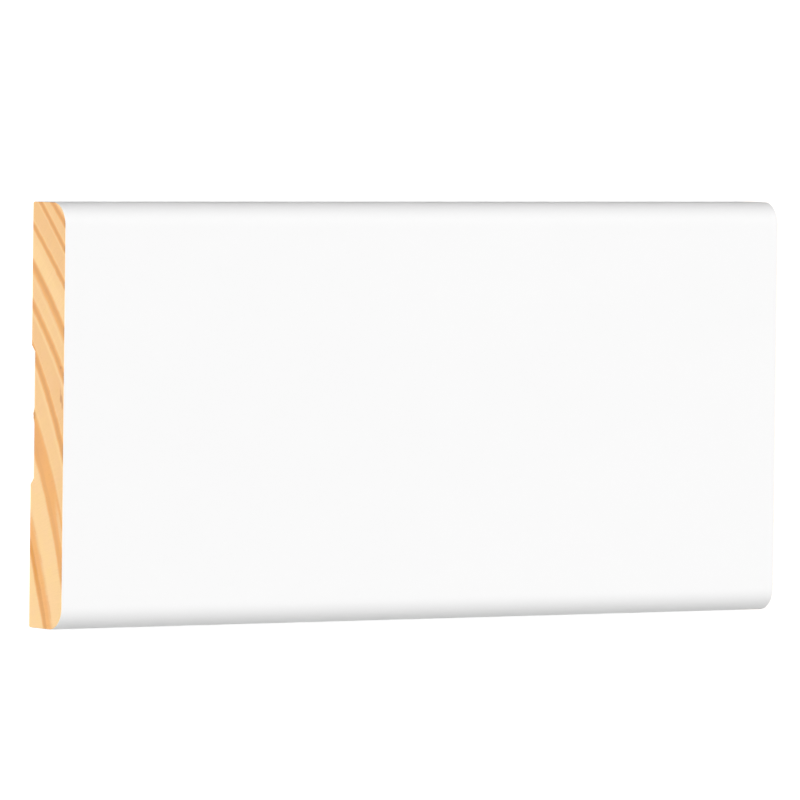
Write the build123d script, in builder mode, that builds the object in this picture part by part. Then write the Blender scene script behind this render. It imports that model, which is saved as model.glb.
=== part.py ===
from build123d import *

import math
import os

# A short length of flat door casing: one piece of machined pine, primed white.
#
# Frame: +X along the length, +Y across the width, +Z out of the primed face.
# The board lies on its back, so the two back lands are on Z = 0, and the origin
# is the middle of the back's footprint.  All sizes are in millimetres.

# ---------------------------------------------------------------- driving sizes
length = 182.5  # the cut piece, sawn square at both ends
width = 88.9  # 3 1/2 in stock
thickness = 12.7  # 1/2 in stock
edge_radius = 4.7625  # 3/16 in round on both long edges of the face
back_arris = 0.4  # sharpness taken off the two long back corners

relief_width = 29.0  # shallow channel along the middle of the back, at its mouth
relief_depth = 1.3
relief_slope = 45.0  # degrees, both sides of the channel

# the channel's floor is narrower than its mouth by the run of the two slopes
relief_floor = relief_width - 2 * relief_depth / math.tan(math.radians(relief_slope))

os.makedirs("parts", exist_ok=True)

# ------------------------------------------------------------------- the casing
with BuildPart() as door_casing:
    # cross-section, drawn on the sawn end: local x is Y, local y is Z
    with BuildSketch(Plane.YZ.offset(-length / 2)) as section:
        Rectangle(width, thickness, align=(Align.CENTER, Align.MIN))

        # the two rounded edges of the face, then the two eased back corners
        fillet(section.vertices().group_by(Axis.Y)[-1], radius=edge_radius)
        fillet(section.vertices().group_by(Axis.Y)[0], radius=back_arris)

        # back relief: a trapezoid with its wide side on the back plane
        with BuildLine():
            Polyline(
                (-relief_width / 2, 0),
                (-relief_floor / 2, relief_depth),
                (relief_floor / 2, relief_depth),
                (relief_width / 2, 0),
                close=True,
            )
        make_face(mode=Mode.SUBTRACT)
    extrude(amount=length)

door_casing.part.label = "door_casing"

# ----------------------------------------------------------------------- export
export_step(door_casing.part, "parts/door_casing.step")

box = door_casing.part.bounding_box()
print("size", box.size, "low", box.min, "high", box.max)
print("volume mm3", round(door_casing.part.volume, 1))
print("section mm2", round(door_casing.part.volume / length, 3))
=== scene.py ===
import math

import bpy
from mathutils import Matrix, Vector


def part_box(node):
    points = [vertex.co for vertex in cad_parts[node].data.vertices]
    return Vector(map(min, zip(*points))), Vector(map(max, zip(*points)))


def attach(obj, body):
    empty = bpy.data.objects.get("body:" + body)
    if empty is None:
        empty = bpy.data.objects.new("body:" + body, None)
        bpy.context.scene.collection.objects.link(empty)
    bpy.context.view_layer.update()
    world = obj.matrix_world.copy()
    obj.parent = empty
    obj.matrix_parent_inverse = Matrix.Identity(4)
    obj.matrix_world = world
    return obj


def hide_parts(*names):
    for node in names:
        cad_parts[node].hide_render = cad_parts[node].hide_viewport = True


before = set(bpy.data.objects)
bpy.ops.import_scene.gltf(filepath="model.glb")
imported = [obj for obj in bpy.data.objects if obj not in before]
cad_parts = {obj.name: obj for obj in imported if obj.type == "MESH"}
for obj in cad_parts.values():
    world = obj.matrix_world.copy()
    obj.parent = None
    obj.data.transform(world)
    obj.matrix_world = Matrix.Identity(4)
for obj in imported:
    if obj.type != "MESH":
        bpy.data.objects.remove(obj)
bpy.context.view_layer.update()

# ----------------------------------------------------------------------------
# Sizes of the stock, in millimetres. Length, width and thickness come from the
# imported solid, and the section's own sizes repeat the ones it was drawn with.
# ----------------------------------------------------------------------------
low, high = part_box("door_casing")
LENGTH = (high[0] - low[0]) * 1000
WIDTH = (high[1] - low[1]) * 1000
THICK = (high[2] - low[2]) * 1000
EDGE_R = 4.7625  # round on both long edges of the face
BACK_R = 0.4  # eased long back corners
CHANNEL_MOUTH = 29.0  # relief channel along the back
CHANNEL_DEPTH = 1.3
CHANNEL_FLOOR = CHANNEL_MOUTH - 2 * CHANNEL_DEPTH
CUT_EASE = 0.06  # the broken edge where the saw came through

HALF = WIDTH / 2

# ----------------------------------------------------------------------------
# The growth rings. A section of the log is described by one number, the
# distance from the pith with a little warp, and each band of darker latewood
# is a span of that distance: where it starts, is full, starts to fade and is
# gone, and how dark it gets. The solid and its colour both read this list.
# ----------------------------------------------------------------------------
PITH_Y, PITH_Z = -51.36, -76.62
WARP = {"uv": 0.182, "vv": 0.076, "uuv": 0.619, "uvv": -0.250, "uuu": 2.981, "uu": -0.839}
# Rings that lean by themselves: the span of distance, and how far, from back to face.
LEANS = (
    (76.0, 77.5, 79.3, 80.6, -0.60),
    (95.0, 97.5, 101.8, 103.8, 0.50),
    (103.8, 105.4, 108.6, 110.6, -0.30),
    (121.5, 124.0, 127.0, 128.6, 0.50),
)
# The innermost band hooks the other way close to the back.
HOOK = (76.0, 77.5, 79.3, 80.6, -0.40)
HOOK_Z = (0.6, 2.2)
LATEWOOD = (
    (69.6, 70.6, 70.9, 73.4, 0.85),
    (78.25, 79.5, 80.0, 81.1, 1.00),
    (78.9, 79.9, 81.4, 83.6, 0.55),
    (88.3, 89.7, 90.4, 92.0, 0.77),
    (88.6, 89.9, 93.2, 94.7, 0.60),
    (98.3, 99.8, 100.35, 101.9, 0.90),
    (105.55, 107.05, 107.2, 108.7, 0.89),
    (110.5, 113.1, 113.3, 114.45, 0.88),
    (118.3, 119.55, 119.75, 120.95, 0.90),
    (124.5, 125.75, 126.0, 127.2, 0.90),
    (128.3, 129.65, 129.9, 131.3, 0.90),
    (134.8, 136.0, 136.4, 138.2, 0.85),
)
# Years whose earlywood is a shade darker all through.
DULL_YEARS = (
    (93.6, 94.8, 97.4, 98.9, 0.20),
    (100.9, 101.8, 105.0, 106.0, 0.31),
    (108.1, 109.0, 110.2, 111.4, 0.18),
    (116.2, 117.6, 118.2, 119.2, 0.10),
    (120.0, 121.2, 124.2, 125.2, 0.32),
    (126.4, 127.4, 128.6, 129.6, 0.25),
)


def smooth(x, a, b):
    """0 below a and 1 above b, with a soft step between."""
    t = min(max((x - a) / (b - a), 0.0), 1.0)
    return t * t * (3 - 2 * t)


def ring_distance(y, z):
    """Warped distance from the pith, in mm, on the sawn end."""
    u, v = y / 44.45, (z - 6.35) / 6.35
    warp = (
        WARP["uv"] * u * v + WARP["vv"] * v * v + WARP["uuv"] * u * u * v
        + WARP["uvv"] * u * v * v + WARP["uuu"] * u ** 3 + WARP["uu"] * u * u
    )
    d = math.hypot(y - PITH_Y, z - PITH_Z) + warp
    lean = sum(g * smooth(d, a, b) * (1 - smooth(d, c, e)) for a, b, c, e, g in LEANS)
    a, b, c, e, g = HOOK
    hook = g * smooth(d, a, b) * (1 - smooth(d, c, e)) * (1 - smooth(z, *HOOK_Z))
    return d + lean * v + hook


def latewood(d):
    """How much latewood there is at a distance from the pith, 0 to 1."""
    return max(g * smooth(d, a, b) * (1 - smooth(d, c, e)) for a, b, c, e, g in LATEWOOD)


# ----------------------------------------------------------------------------
# The board, as one closed mesh. Its section is a grid of columns across the
# width and rows through the thickness, so that the sawn ends can carry the
# relief of their rings and the saw, and the rounds stay true arcs.
# ----------------------------------------------------------------------------
def face_z(y):
    """Height of the primed side at a place across the width."""
    over = abs(y) - (HALF - EDGE_R)
    if over <= 0:
        return THICK
    return THICK - EDGE_R + math.sqrt(max(EDGE_R ** 2 - over ** 2, 0.0))


def back_z(y):
    """Height of the back at a place across the width."""
    a = abs(y)
    if a <= CHANNEL_FLOOR / 2:
        return CHANNEL_DEPTH
    if a < CHANNEL_MOUTH / 2:
        return CHANNEL_MOUTH / 2 - a
    over = a - (HALF - BACK_R)
    if over <= 0:
        return 0.0
    return BACK_R - math.sqrt(max(BACK_R ** 2 - over ** 2, 0.0))


def torn(y, x):
    """How far a torn fibre hangs below the channel's floor, close to the left end."""
    from_end = x + LENGTH / 2
    if from_end > 3.2:
        return 0.0
    hang = smooth(y, -1.9, -0.3) * (1 - smooth(y, 0.3, 1.7)) * (1 + 0.12 * math.sin(y * 7.0))
    return 0.42 * hang * (1 - smooth(from_end, 0.2, 3.2))


def spread(a, b, step):
    """Evenly spaced places from a to b, without b."""
    n = max(1, math.ceil((b - a) / step - 1e-9))
    return [a + (b - a) * i / n for i in range(n)]


def columns():
    """Places across the width, from the middle to one side, then mirrored."""
    half = spread(0.0, 2.0, 0.2) + spread(2.0, CHANNEL_FLOOR / 2, 0.5)
    half += spread(CHANNEL_FLOOR / 2, CHANNEL_MOUTH / 2, 0.45)
    half += spread(CHANNEL_MOUTH / 2, HALF - EDGE_R, 0.5)
    # the face's round up to where the back corner begins, in equal turns
    last = math.asin((EDGE_R - BACK_R) / EDGE_R)
    half += [HALF - EDGE_R + EDGE_R * math.sin(last * k / 18) for k in range(18)]
    # then both rounds together, in equal turns of the small one
    half += [HALF - BACK_R + BACK_R * math.sin(math.pi / 2 * k / 6) for k in range(7)]
    return [-y for y in half[:0:-1]] + half


ROWS = 24


def build_board():
    ys = columns()
    nc = len(ys)
    grid = [
        [(y, back_z(y) + (face_z(y) - back_z(y)) * j / ROWS) for j in range(ROWS + 1)]
        for y in ys
    ]
    # The outline, once round: back, right side, face, left side.
    walk = [(i, 0) for i in range(nc)]
    walk += [(nc - 1, j) for j in range(1, ROWS)]
    walk += [(i, ROWS) for i in range(nc - 1, -1, -1)]
    walk += [(0, j) for j in range(ROWS - 1, 0, -1)]
    n = len(walk)
    outline = [grid[i][j] for i, j in walk]

    # Where the saw came through, the outline draws in by the broken edge.
    inset = []
    for k in range(n):
        (y0, z0), (y1, z1), (y2, z2) = outline[k - 1], outline[k], outline[(k + 1) % n]
        a, b = Vector((y1 - y0, z1 - z0)), Vector((y2 - y1, z2 - z1))
        side = Vector((-a.y, a.x)).normalized() + Vector((-b.y, b.x)).normalized()
        side.normalize()
        inset.append((y1 + side.x * CUT_EASE, z1 + side.y * CUT_EASE))
    place = {ij: inset[k] for k, ij in enumerate(walk)}

    def cap_point(i, j, right):
        if (i, j) in place and j:
            return place[i, j]
        (ya, za), (yb, zb) = place[i, 0], place[i, ROWS]
        if not right:
            za -= torn(ya, -LENGTH / 2)
        t = j / ROWS
        return (ya + (yb - ya) * t, za + (zb - za) * t)

    verts, faces, kinds, uvs = [], [], [], []

    # how far along the outline each point is, for laying the skin out flat
    along_back = [0.0]
    for i in range(1, nc):
        along_back.append(along_back[-1] + math.dist(grid[i - 1][0], grid[i][0]))
    skin = [(nc - 1, j) for j in range(ROWS)] + [(i, ROWS) for i in range(nc - 1, -1, -1)]
    skin += [(0, j) for j in range(ROWS - 1, -1, -1)]
    along_skin = [0.0]
    for k in range(1, len(skin)):
        a, b = skin[k - 1], skin[k]
        along_skin.append(along_skin[-1] + math.dist(grid[a[0]][a[1]], grid[b[0]][b[1]]))

    EDGE = 0.008
    span = 1 - 2 * EDGE

    def skin_uv(k, x):
        return (EDGE + span * (x / LENGTH + 0.5), 0.008 + 0.204 * along_skin[k] / along_skin[-1])

    def back_uv(i, x):
        return (EDGE + span * (x / LENGTH + 0.5), 0.222 + 0.468 * along_back[i] / along_back[-1])

    def cap_uv(y, z, right):
        s = span / WIDTH
        return (EDGE + s * (y + HALF), (0.849 if right else 0.700) + s * z)

    # the long body, in stations along the length
    end = LENGTH / 2
    first = end - CUT_EASE
    xs = [-first + 2 * first * k / 44 for k in range(45)]
    xs[1:1] = [-end + k for k in (0.5, 1.0, 1.6, 2.4, 3.2)]
    for x in xs:
        verts += [(x, y, z - torn(y, x) if ij[1] == 0 else z) for ij, (y, z) in zip(walk, outline)]
    base_of = [s * n for s in range(len(xs))]
    # then the drawn-in outline at each sawn end, shared with the end's grid
    caps = []
    for right in (False, True):
        x = end if right else -end
        index = {}
        for i in range(nc):
            for j in range(ROWS + 1):
                y, z = cap_point(i, j, right)
                depth = 0.0
                if 0 < i < nc - 1 and 0 < j < ROWS:
                    # earlywood is softer, and the saw leaves it a little lower
                    depth = 0.034 * (1 - latewood(ring_distance(y, z)))
                    # the teeth leave shallow arcs about the blade's arbor
                    reach = math.hypot(y - 21.0, z - 118.0)
                    depth += 0.007 * (1 + math.sin(reach * 5.3 + 1.7 * math.sin(reach * 0.9)))
                    # both die away into the outline
                    near = min(i, nc - 1 - i, 3 * j, 3 * (ROWS - j)) / 3
                    depth *= min(1.0, near)
                index[i, j] = len(verts)
                verts.append((x - depth if right else x + depth, y, z))
        caps.append(index)

    def quad(a, b, c, d, kind, uv):
        faces.append((a, b, c, d))
        kinds.append(kind)
        uvs.extend(uv)

    # loops of the outline: the drawn-in left end, the stations, the drawn-in right end
    loops = [[caps[0][ij] for ij in walk]]
    loops += [[b + k for k in range(n)] for b in base_of]
    loops += [[caps[1][ij] for ij in walk]]
    at = [-end] + xs + [end]
    skin_place = {ij: k for k, ij in enumerate(skin)}
    for s in range(len(loops) - 1):
        for k in range(n):
            k2 = (k + 1) % n
            p, q = walk[k], walk[k2]
            x0, x1 = at[s], at[s + 1]
            if p[1] == 0 and q[1] == 0:  # the back
                uv = [back_uv(p[0], x0), back_uv(q[0], x0), back_uv(q[0], x1), back_uv(p[0], x1)]
                kind = 1
            else:
                a, b = skin_place[p], skin_place[q]
                uv = [skin_uv(a, x0), skin_uv(b, x0), skin_uv(b, x1), skin_uv(a, x1)]
                kind = 0
            if kind == 0 and s in (0, len(loops) - 2):  # bare where the cut broke the primer
                kind = 2
                right = s > 0
                inner = [cap_uv(*place[ij], right) for ij in (p, q)]
                outer = [cap_uv(*outline[m], right) for m in (k, k2)]
                near, far = (outer, inner) if right else (inner, outer)
                uv = [near[0], near[1], far[1], far[0]]
            quad(loops[s][k], loops[s][k2], loops[s + 1][k2], loops[s + 1][k], kind, uv)
    for right in (False, True):
        index = caps[1] if right else caps[0]
        for i in range(nc - 1):
            for j in range(ROWS):
                ring = [(i, j), (i + 1, j), (i + 1, j + 1), (i, j + 1)]
                if not right:
                    ring.reverse()
                uv = [cap_uv(*cap_point(*ij, right), right) for ij in ring]
                quad(*(index[ij] for ij in ring), 2, uv)

    me = bpy.data.meshes.new("primed_casing")
    me.from_pydata([(x / 1000, y / 1000, z / 1000) for x, y, z in verts], [], faces)
    me.polygons.foreach_set("material_index", kinds)
    layer = me.uv_layers.new(name="OFBake")
    layer.uv.foreach_set("vector", [c for uv in uvs for c in uv])
    # 1 on the section's outline and 0 a row further in
    inside = {index[i, j] for index in caps for i in range(1, nc - 1) for j in range(1, ROWS)}
    rim = me.attributes.new("rim", "FLOAT", "POINT")
    rim.data.foreach_set("value", [0.0 if k in inside else 1.0 for k in range(len(verts))])
    me.validate()
    me.shade_smooth()
    me.set_sharp_from_angle(angle=math.radians(28))
    me.update()
    ob = bpy.data.objects.new("primed_casing", me)
    bpy.context.scene.collection.objects.link(ob)
    return ob


# ----------------------------------------------------------------------------
# Materials
# ----------------------------------------------------------------------------
class Paint:
    """A material and short names for the nodes it is made of."""

    def __init__(self, name):
        self.mat = bpy.data.materials.new(name)
        self.mat.use_nodes = True
        self.tree = self.mat.node_tree
        self.tree.nodes.clear()
        self.out = self.tree.nodes.new("ShaderNodeOutputMaterial")
        self.bsdf = self.tree.nodes.new("ShaderNodeBsdfPrincipled")
        self.tree.links.new(self.bsdf.outputs[0], self.out.inputs[0])
        where = self.tree.nodes.new("ShaderNodeTexCoord").outputs["Object"]
        # object coordinates are metres: everything below is in millimetres
        self.mm = self.vec("SCALE", where, scale=1000.0)
        cut = self.tree.nodes.new("ShaderNodeSeparateXYZ")
        self.tree.links.new(self.mm, cut.inputs[0])
        self.x, self.y, self.z = cut.outputs

    def put(self, socket, value):
        if isinstance(value, bpy.types.NodeSocket):
            self.tree.links.new(value, socket)
        else:
            socket.default_value = value

    def math(self, op, a, b=None, c=None, clamp=False):
        node = self.tree.nodes.new("ShaderNodeMath")
        node.operation = op
        node.use_clamp = clamp
        for socket, value in zip(node.inputs, (a, b, c)):
            if value is not None:
                self.put(socket, value)
        return node.outputs[0]

    def add(self, *terms):
        total = terms[0]
        for t in terms[1:]:
            total = self.math("ADD", total, t)
        return total

    def mul(self, *terms):
        total = terms[0]
        for t in terms[1:]:
            total = self.math("MULTIPLY", total, t)
        return total

    def vec(self, op, a, b=None, scale=None):
        node = self.tree.nodes.new("ShaderNodeVectorMath")
        node.operation = op
        self.put(node.inputs[0], a)
        if b is not None:
            self.put(node.inputs[1], b)
        if scale is not None:
            self.put(node.inputs["Scale"], scale)
        return node.outputs["Value" if op in ("LENGTH", "DISTANCE", "DOT_PRODUCT") else "Vector"]

    def point(self, x, y, z):
        node = self.tree.nodes.new("ShaderNodeCombineXYZ")
        for socket, value in zip(node.inputs, (x, y, z)):
            self.put(socket, value)
        return node.outputs[0]

    def stretched(self, sx, sy, sz, shift=(0.0, 0.0, 0.0)):
        """The place on the board, measured in steps of these sizes in mm."""
        return self.vec("ADD", self.vec("MULTIPLY", self.mm, (1 / sx, 1 / sy, 1 / sz)), shift)

    def noise(self, at, detail=2.0, rough=0.5, twist=0.0):
        node = self.tree.nodes.new("ShaderNodeTexNoise")
        self.put(node.inputs["Vector"], at)
        self.put(node.inputs["Scale"], 1.0)
        self.put(node.inputs["Detail"], detail)
        self.put(node.inputs["Roughness"], rough)
        self.put(node.inputs["Distortion"], twist)
        return node.outputs[0]

    def step(self, x, a, b, low=0.0, high=1.0):
        node = self.tree.nodes.new("ShaderNodeMapRange")
        node.interpolation_type = "SMOOTHSTEP"
        for socket, value in zip(node.inputs, (x, a, b, low, high)):
            self.put(socket, value)
        return node.outputs[0]

    def span(self, x, a, b, c, d, height=1.0):
        return self.mul(self.step(x, a, b), self.step(x, c, d, height, 0.0))

    def blend(self, factor, a, b, how="MIX"):
        node = self.tree.nodes.new("ShaderNodeMix")
        node.data_type = "RGBA"
        node.blend_type = how
        self.put(node.inputs[0], factor)
        for socket, value in ((node.inputs[6], a), (node.inputs[7], b)):
            self.put(socket, value if isinstance(value, bpy.types.NodeSocket) else (*value, 1.0))
        return node.outputs[2]

    def ramp(self, x, stops):
        node = self.tree.nodes.new("ShaderNodeValToRGB")
        self.put(node.inputs[0], x)
        el = node.color_ramp.elements
        while len(el) < len(stops):
            el.new(0.5)
        for e, (at, colour) in zip(el, stops):
            e.position = at
            e.color = (*colour, 1.0)
        return node.outputs[0]

    def bump(self, height, mm, under=None):
        """Relief of this many millimetres where height is 1."""
        node = self.tree.nodes.new("ShaderNodeBump")
        self.put(node.inputs["Strength"], 1.0)
        self.put(node.inputs["Distance"], mm / 1000)
        self.put(node.inputs["Height"], height)
        if under is not None:
            self.put(node.inputs["Normal"], under)
        return node.outputs[0]


def srgb(r, g, b):
    """Linear colour from the 0 to 255 values that a screen shows."""
    def one(c):
        c /= 255
        return c / 12.92 if c <= 0.04045 else ((c + 0.055) / 1.055) ** 2.4
    return one(r), one(g), one(b)


PRIMER = (0.876, 0.875, 0.875)
PRIMER_LOW = (0.864, 0.863, 0.863)
EARLY = srgb(238, 201, 149)
DULL = srgb(231, 188, 137)
WARM = srgb(229, 171, 109)
BROWN = srgb(222, 165, 107)
LATE = srgb(214, 158, 103)
DEEP = srgb(216, 152, 83)
ARRIS = srgb(158, 124, 92)
PITCH = srgb(180, 122, 88)
SPOTS = (
    (5.0, 11.45, 1.1, 0.40, 0.28, PITCH),
    (3.7, 11.70, 1.15, 0.66, 0.60, PITCH),
    (2.5, 12.20, 1.4, 0.40, 0.50, PITCH),
    (10.2, 11.55, 0.42, 0.30, 0.65, PITCH),
    (0.0, 1.36, 1.2, 0.50, 0.42, ARRIS),
)


def primer_colour(p):
    """White primer: a very slight cloud from the spray, and finer mottle."""
    cloud = p.noise(p.stretched(46, 31, 31), 2.0, 0.5)
    fine = p.noise(p.stretched(1.4, 0.9, 0.9, (7.0, 3.0, 5.0)), 2.0, 0.6)
    return p.blend(p.add(p.mul(cloud, 0.7), p.mul(fine, 0.3)), PRIMER_LOW, PRIMER)


def primer_relief(p):
    """Orange peel and tooth of the sprayed coat, over grain that just telegraphs through it."""
    grain = p.noise(p.stretched(38, 0.75, 0.75, (2.0, 9.0, 4.0)), 3.0, 0.55)
    under = p.bump(grain, 0.005)
    peel = p.noise(p.stretched(1.9, 1.5, 1.5, (4.0, 1.0, 8.0)), 1.5, 0.45)
    under = p.bump(peel, 0.007, under)
    tooth = p.noise(p.stretched(0.42, 0.30, 0.30, (6.0, 8.0, 3.0)), 2.0, 0.5)
    return p.bump(tooth, 0.005, under)


def primer_material():
    p = Paint("white_primer")
    p.put(p.bsdf.inputs["Base Color"], primer_colour(p))
    sheen = p.noise(p.stretched(9, 5, 5, (3.0, 6.0, 1.0)), 2.0, 0.5)
    p.put(p.bsdf.inputs["Roughness"], p.step(sheen, 0.2, 0.8, 0.46, 0.56))
    p.put(p.bsdf.inputs["Specular IOR Level"], 0.32)
    p.put(p.bsdf.inputs["Normal"], primer_relief(p))
    return p.mat


def pine(p):
    """The wood itself, as a solid: ring distance, latewood and colour before its fine detail."""
    # The log isn't a true cylinder, so the rings wander along the length. The
    # wander is nothing at the left end and grows away from it.
    away = p.step(p.x, -LENGTH / 2, -LENGTH / 2 + 40)
    slow = p.noise(p.stretched(105, 34, 34, (11.0, 2.0, 6.0)), 1.0, 0.4)
    ripple = p.noise(p.stretched(30, 5.0, 5.0, (5.0, 8.0, 2.0)), 2.0, 0.5)
    drift = p.mul(away, p.add(p.mul(p.math("SUBTRACT", slow, 0.5), 5.6), p.mul(p.math("SUBTRACT", ripple, 0.5), 0.7)))
    # small unevenness of every ring, seen on the end as well
    uneven = p.mul(p.math("SUBTRACT", p.noise(p.stretched(30, 2.6, 2.6), 2.0, 0.55), 0.5), 0.55)

    u = p.math("DIVIDE", p.y, 44.45)
    v = p.math("DIVIDE", p.math("SUBTRACT", p.z, 6.35), 6.35)
    uu, vv, uv = p.mul(u, u), p.mul(v, v), p.mul(u, v)
    d = p.vec("DISTANCE", p.point(0.0, p.y, p.z), (0.0, PITH_Y, PITH_Z))
    d = p.add(
        d, p.mul(uv, WARP["uv"]), p.mul(vv, WARP["vv"]), p.mul(uu, v, WARP["uuv"]),
        p.mul(u, vv, WARP["uvv"]), p.mul(uu, u, WARP["uuu"]), p.mul(uu, WARP["uu"]),
    )
    leans = [p.mul(p.span(d, *lean), v) for lean in LEANS]
    hook = p.mul(p.span(d, *HOOK), p.step(p.z, *HOOK_Z, 1.0, 0.0))
    d = p.add(d, *leans, hook, drift, uneven)

    late = None
    for a, b, c, e, g in LATEWOOD + DULL_YEARS:
        band = p.span(d, a, b, c, e, g)
        late = band if late is None else p.math("MAXIMUM", late, band)
    # the widest band is darker towards the back, and parts in two at the face, with a
    # paler streak between; the innermost one fades a little on its way to the face
    deep = p.mul(p.span(d, 90.2, 91.0, 92.6, 93.4, 0.24), p.step(p.z, 3.0, 6.5, 1.0, 0.0))
    part = p.mul(p.span(d, 91.2, 92.0, 92.6, 93.4, 0.50), p.step(p.z, 8.6, 11.6))
    fade = p.mul(p.span(d, 77.5, 78.5, 80.2, 81.2, 0.08), p.step(p.z, 2.4, 5.2))
    late = p.mul(late, p.math("SUBTRACT", p.math("SUBTRACT", p.add(deep, 1.0), part), fade))
    # a false ring: a broken hairline behind the innermost band
    broken = p.step(p.noise(p.stretched(24, 2.2, 2.2, (8.0, 1.0, 3.0)), 2.0, 0.6), 0.38, 0.55)
    late = p.math("MAXIMUM", late, p.mul(p.span(d, 82.0, 82.3, 82.5, 82.9, 0.46), broken))
    # slow change of tone within each ring
    tone = p.noise(p.stretched(60, 9, 9, (1.0, 4.0, 9.0)), 2.0, 0.5)
    late = p.math("ADD", late, p.mul(p.math("SUBTRACT", tone, 0.5), 0.15), clamp=True)
    return d, late


def pine_colour(p, late):
    """The rings' colours, with patches a shade pinker and yellower."""
    colour = p.ramp(late, ((0.0, EARLY), (0.3, DULL), (0.56, WARM), (0.76, BROWN), (0.9, LATE), (1.0, DEEP)))
    patch = p.math("SUBTRACT", p.noise(p.stretched(38, 3.0, 3.0, (3.0, 5.0, 8.0)), 2.0, 0.55), 0.5)
    tint = p.point(1.0, p.add(p.mul(patch, -0.05), 1.0), p.add(p.mul(patch, 0.14), 1.0))
    return p.blend(1.0, colour, tint, "MULTIPLY")


def canals(p, late):
    """Resin canals: hair-thin tubes along the grain, mostly in the latewood."""
    node = p.tree.nodes.new("ShaderNodeTexVoronoi")
    node.feature = "F1"
    p.put(node.inputs["Vector"], p.stretched(34, 1.35, 1.35))
    p.put(node.inputs["Scale"], 1.0)
    p.put(node.inputs["Randomness"], 1.0)
    near = p.step(node.outputs["Distance"], 0.05, 0.13, 1.0, 0.0)
    return p.mul(near, p.step(late, 0.1, 0.7, 0.25, 1.0))


def end_material():
    p = Paint("sawn_pine_end")
    d, late = pine(p)
    colour = pine_colour(p, late)
    # rays run out from the pith as fine pale lines, and the cut fibres speckle
    turn = p.math("ARCTAN2", p.math("SUBTRACT", p.z, PITH_Z), p.math("SUBTRACT", p.y, PITH_Y))
    rays = p.noise(p.point(p.mul(turn, 520.0), p.math("DIVIDE", d, 7.0), 0.0), 2.0, 0.5)
    speck = p.noise(p.stretched(0.6, 0.22, 0.22), 2.0, 0.6)
    fine = p.add(p.mul(p.math("SUBTRACT", rays, 0.5), 0.10), p.mul(p.math("SUBTRACT", speck, 0.5), 0.12), 1.0)
    colour = p.blend(1.0, colour, p.point(fine, fine, fine), "MULTIPLY")
    tubes = canals(p, late)
    colour = p.blend(p.mul(tubes, 0.35), colour, srgb(176, 116, 66))
    # a streak and a speck of pitch close to the face, and the soiled edge of the torn lip
    for y, z, ry, rz, much, tint in SPOTS:
        off = p.vec("MULTIPLY", p.vec("SUBTRACT", p.mm, (-LENGTH / 2, y, z)), (0.02, 1 / ry, 1 / rz))
        colour = p.blend(p.step(p.vec("LENGTH", off), 0.35, 1.1, much, 0.0), colour, tint)
    # the arris is rubbed, and the hard bands hold the dirt there
    node = p.tree.nodes.new("ShaderNodeAttribute")
    node.attribute_name = "rim"
    rubbed = p.mul(p.step(node.outputs["Fac"], 0.35, 1.0), p.step(late, 0.35, 0.9))
    colour = p.blend(p.mul(rubbed, p.step(p.z, 3.0, 9.0, 0.25, 0.42)), colour, ARRIS)
    p.put(p.bsdf.inputs["Base Color"], colour)
    p.put(p.bsdf.inputs["Roughness"], p.step(late, 0.0, 1.0, 0.80, 0.66))
    p.put(p.bsdf.inputs["Specular IOR Level"], 0.15)
    # the saw's arcs, then the cut fibres and open canals
    reach = p.vec("DISTANCE", p.point(0.0, p.y, p.z), (0.0, 21.0, 118.0))
    teeth = p.noise(p.point(p.math("DIVIDE", reach, 0.26), p.math("DIVIDE", p.y, 60.0), 0.0), 2.0, 0.6)
    relief = p.bump(teeth, 0.012)
    relief = p.bump(p.math("SUBTRACT", speck, p.mul(tubes, 0.8)), 0.014, relief)
    p.put(p.bsdf.inputs["Normal"], relief)
    return p.mat


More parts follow.
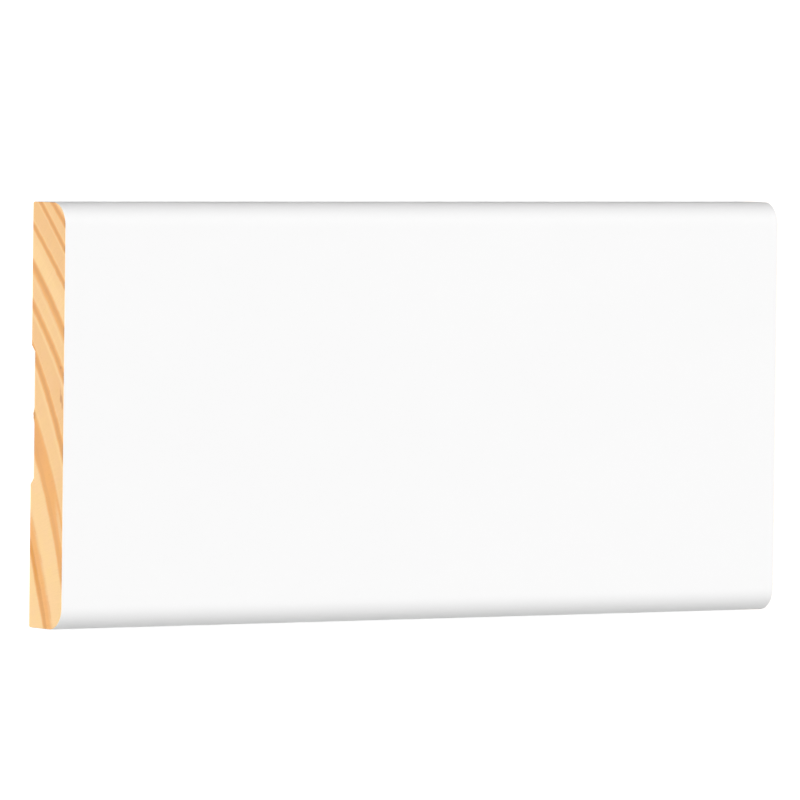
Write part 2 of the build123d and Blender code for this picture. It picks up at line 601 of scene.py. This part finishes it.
def back_material():
    p = Paint("planed_pine_back")
    d, late = pine(p)
    colour = pine_colour(p, late)
    # fibres along the grain, with broader streaks among them
    streak = p.noise(p.stretched(85, 1.3, 1.3, (4.0, 1.0, 7.0)), 2.0, 0.55)
    fibre = p.noise(p.stretched(26, 0.32, 0.32, (6.0, 2.0, 3.0)), 3.0, 0.6)
    short = p.noise(p.stretched(5.5, 0.14, 0.14, (2.0, 5.0, 1.0)), 2.0, 0.55)
    # the planer's knives leave a shallow wave, and its crests are painted a shade lighter in the colour: a painted
    # highlight standing for their sheen
    pitch = p.math("MULTIPLY", p.add(p.x, p.mul(fibre, 0.22), p.mul(streak, 0.8)), 2 * math.pi / 1.9)
    uneven = p.noise(p.stretched(14, 11, 11, (1.0, 6.0, 2.0)), 1.0, 0.5)
    wave_and_highlight = p.mul(p.math("SINE", pitch), p.step(uneven, 0.32, 0.68, 0.25, 1.0))
    # grain streaks and fibres, plus the painted highlight along the wave's crests
    fine = p.add(
        p.mul(p.math("SUBTRACT", streak, 0.5), 0.20), p.mul(p.math("SUBTRACT", fibre, 0.5), 0.30),
        p.mul(p.math("SUBTRACT", short, 0.5), 0.14), p.mul(wave_and_highlight, 0.010), 1.0,
    )
    colour = p.blend(1.0, colour, p.point(fine, fine, fine), "MULTIPLY")
    tubes = canals(p, late)
    colour = p.blend(p.mul(tubes, 0.5), colour, srgb(170, 108, 58))
    # primer that drifted round the long corners while the face was sprayed
    from_edge = p.math("SUBTRACT", HALF, p.math("ABSOLUTE", p.y))
    ragged = p.noise(p.stretched(6.5, 2.2, 2.2, (9.0, 9.0, 1.0)), 3.0, 0.6)
    mist = p.noise(p.stretched(0.5, 0.35, 0.35, (3.0, 7.0, 2.0)), 1.0, 0.5)
    reach = p.add(from_edge, p.mul(p.math("SUBTRACT", ragged, 0.5), 3.4), p.mul(p.math("SUBTRACT", mist, 0.5), 1.5))
    coat = p.step(reach, 0.25, 1.9, 1.0, 0.0)
    colour = p.blend(coat, colour, primer_colour(p))
    p.put(p.bsdf.inputs["Base Color"], colour)
    p.put(p.bsdf.inputs["Roughness"], p.math("SUBTRACT", p.step(late, 0.0, 1.0, 0.70, 0.58), p.mul(coat, 0.08)))
    # the same wave as relief, and the fibres stand a little
    relief = p.bump(wave_and_highlight, 0.003)
    relief = p.bump(p.math("SUBTRACT", p.add(p.mul(fibre, 0.7), p.mul(late, 0.35)), p.mul(tubes, 0.5)), 0.012, relief)
    p.put(p.bsdf.inputs["Normal"], relief)
    return p.mat


board = build_board()
for made in (primer_material(), back_material(), end_material()):
    board.data.materials.append(made)
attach(board, "root")
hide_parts("door_casing")

# ----------------------------------------------------------------------------
# Stage: a pale lit floor, a surround with an overhead panel and a bounce card,
# and three broad far lights
# ----------------------------------------------------------------------------
def build_floor():
    me = bpy.data.meshes.new("floor")
    r = 6.0
    me.from_pydata([(-r, -r, -5e-5), (r, -r, -5e-5), (r, r, -5e-5), (-r, r, -5e-5)], [], [(0, 1, 2, 3)])
    ob = bpy.data.objects.new("floor", me)
    bpy.context.scene.collection.objects.link(ob)
    p = Paint("pale_floor")
    cloud = p.noise(p.stretched(260, 260, 260), 2.0, 0.5)
    p.put(p.bsdf.inputs["Base Color"], p.blend(cloud, (0.965, 0.965, 0.965), (0.972, 0.972, 0.972)))
    p.put(p.bsdf.inputs["Roughness"], 0.9)
    p.put(p.bsdf.inputs["Specular IOR Level"], 0.1)
    # a light table: it glows a little by itself, and throws no glow up the board's sides
    p.put(p.bsdf.inputs["Emission Color"], (1.0, 1.0, 1.0, 1.0))
    p.put(p.bsdf.inputs["Emission Strength"], FLOOR_GLOW)
    p.mat.cycles.emission_sampling = "NONE"
    me.materials.append(p.mat)
    ob.visible_diffuse = False


FLOOR_GLOW = 0.20
build_floor()


def build_surround():
    """Light from all round: even, a brighter horizon, a panel overhead and a card below."""
    world = bpy.data.worlds.new("surround")
    bpy.context.scene.world = world
    world.use_nodes = True
    tree = world.node_tree
    sky = tree.nodes.get("Background")
    sky.inputs["Color"].default_value = (1.0, 1.0, 1.0, 1.0)
    towards = tree.nodes.new("ShaderNodeTexCoord").outputs["Generated"]

    def along(axis):
        node = tree.nodes.new("ShaderNodeVectorMath")
        node.operation = "DOT_PRODUCT"
        tree.links.new(towards, node.inputs[0])
        node.inputs[1].default_value = Vector(axis).normalized()
        return node.outputs["Value"]

    def step(x, a, b, low, high):
        node = tree.nodes.new("ShaderNodeMapRange")
        node.interpolation_type = "SMOOTHSTEP"
        tree.links.new(x, node.inputs[0])
        for socket, value in zip(list(node.inputs)[1:5], (a, b, low, high)):
            socket.default_value = value
        return node.outputs[0]

    def join(op, a, b):
        node = tree.nodes.new("ShaderNodeMath")
        node.operation = op
        for socket, value in zip(node.inputs, (a, b)):
            if isinstance(value, bpy.types.NodeSocket):
                tree.links.new(value, socket)
            else:
                socket.default_value = value
        return node.outputs[0]

    def lobe(turn, inner, outer, strength):
        """A soft disc of light. turn is its angle from straight up towards +Y."""
        turn = math.radians(turn)
        x = along((0.0, math.sin(turn), math.cos(turn)))
        return step(x, math.cos(math.radians(outer)), math.cos(math.radians(inner)), 0.0, strength)

    height = along((0.0, 0.0, 1.0))
    band = join("MULTIPLY", step(height, -0.10, 0.0, 0.0, 1.0), step(height, 0.10, 0.24, HORIZON, 0.0))
    total = join("ADD", EVEN, band)
    for one in PANELS:
        total = join("ADD", total, lobe(*one))
    tree.links.new(total, sky.inputs["Strength"])


EVEN = 0.09
HORIZON = 0.40
PANELS = ((40, 10, 50, 0.65), (-150, 10, 50, 2.55))
build_surround()


def sun(name, towards, strength, spread):
    """A far, broad light from this direction, even over the whole board."""
    data = bpy.data.lights.new(name, "SUN")
    data.energy = strength
    data.angle = math.radians(spread)
    ob = bpy.data.objects.new(name, data)
    ob.rotation_euler = Vector(towards).normalized().to_track_quat("Z", "Y").to_euler()
    ob.location = Vector(towards).normalized() * 2.0
    bpy.context.scene.collection.objects.link(ob)


# the main light comes from over the viewer, and low ones reach the sawn ends
sun("key", (-0.552, 0.038, 0.832), 2.475, 14)
sun("low_left", (-0.975, 0.0, 0.22), 1.39, 25)
sun("low_right", (0.992, 0.0, 0.125), 2.22, 12)

bpy.context.scene.view_settings.view_transform = "Standard"
bpy.context.scene.view_settings.look = "None"

# ----------------------------------------------------------------------------
# Camera: a long lens, over the left end, with the face's long edges near level
# ----------------------------------------------------------------------------
lens = bpy.data.cameras.new("camera")
lens.sensor_width = 36.0
lens.lens = 437.70
lens.clip_start = 0.05
lens.clip_end = 60.0
camera = bpy.data.objects.new("camera", lens)
right = Vector((0.8311594, 0.0119356, 0.5559060))
up = Vector((0.0112791, 0.9992020, -0.0383172))
back = Vector((-0.5559197, 0.0381178, 0.8303615))
spot = Vector((-1.1554268, 0.0813001, 1.7277841))
camera.matrix_world = Matrix((
    (right.x, up.x, back.x, spot.x),
    (right.y, up.y, back.y, spot.y),
    (right.z, up.z, back.z, spot.z),
    (0.0, 0.0, 0.0, 1.0),
))
bpy.context.scene.collection.objects.link(camera)
bpy.context.scene.camera = camera
